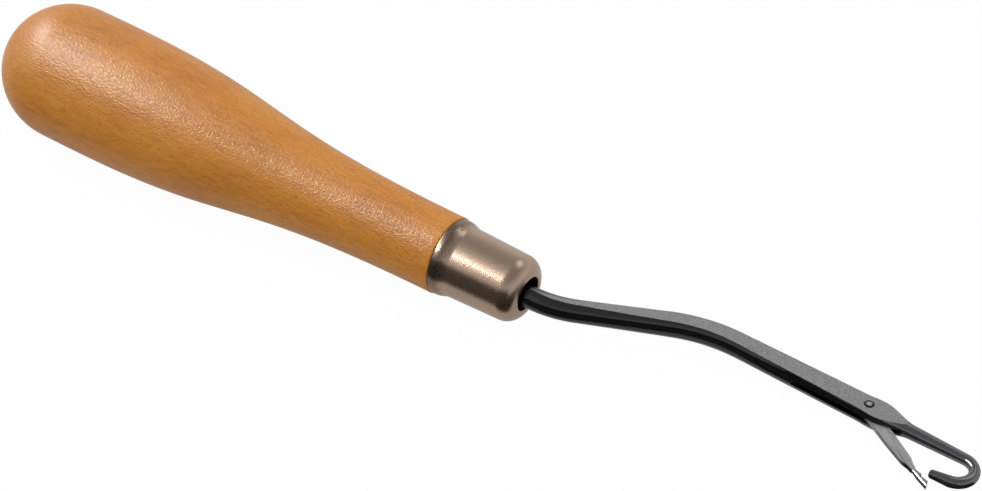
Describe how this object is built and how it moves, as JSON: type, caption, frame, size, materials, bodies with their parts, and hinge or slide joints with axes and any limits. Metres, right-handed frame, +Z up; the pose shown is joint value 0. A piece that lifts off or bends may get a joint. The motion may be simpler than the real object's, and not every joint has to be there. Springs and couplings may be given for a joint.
{
  "type": "latch hook tool",
  "caption": "Bent latch hook for rug making: turned wooden grip, metal ferrule, cranked steel shank with a slotted stem, round hook and a swinging latch.",
  "frame": {"origin": "on the table under the middle of the tool as it lies at rest on its palm swell and its hook", "axes": "+X from the butt towards the hook, along the table; +Z up; the hook opens towards -Y"},
  "size_m": [0.1763, 0.023, 0.0237],
  "materials": {
    "handle_wood": "varnished honey beech",
    "ferrule_nickel": "dull nickel plate on drawn steel sheet",
    "shank_steel": "blackened forged steel, worn on the flats",
    "rivet_steel": "peened steel, ground nearly flush",
    "latch_steel": "matte drawn steel strip with fine lengthwise lines"
  },
  "bodies": {
    "tool": {"handle": "handle_wood", "ferrule": "ferrule_nickel", "hook_shank": "shank_steel", "latch_rivet": "rivet_steel"},
    "latch": {"latch": "latch_steel"}
  },
  "joints": [
    {"name": "latch_swing", "type": "hinge", "parent": "tool", "child": "latch", "pos_m": [0.06813, 0.00892, 0.00224], "axis": [0.0696, 0, 0.9976], "range_deg": [-136.9, 5.2]}
  ]
}
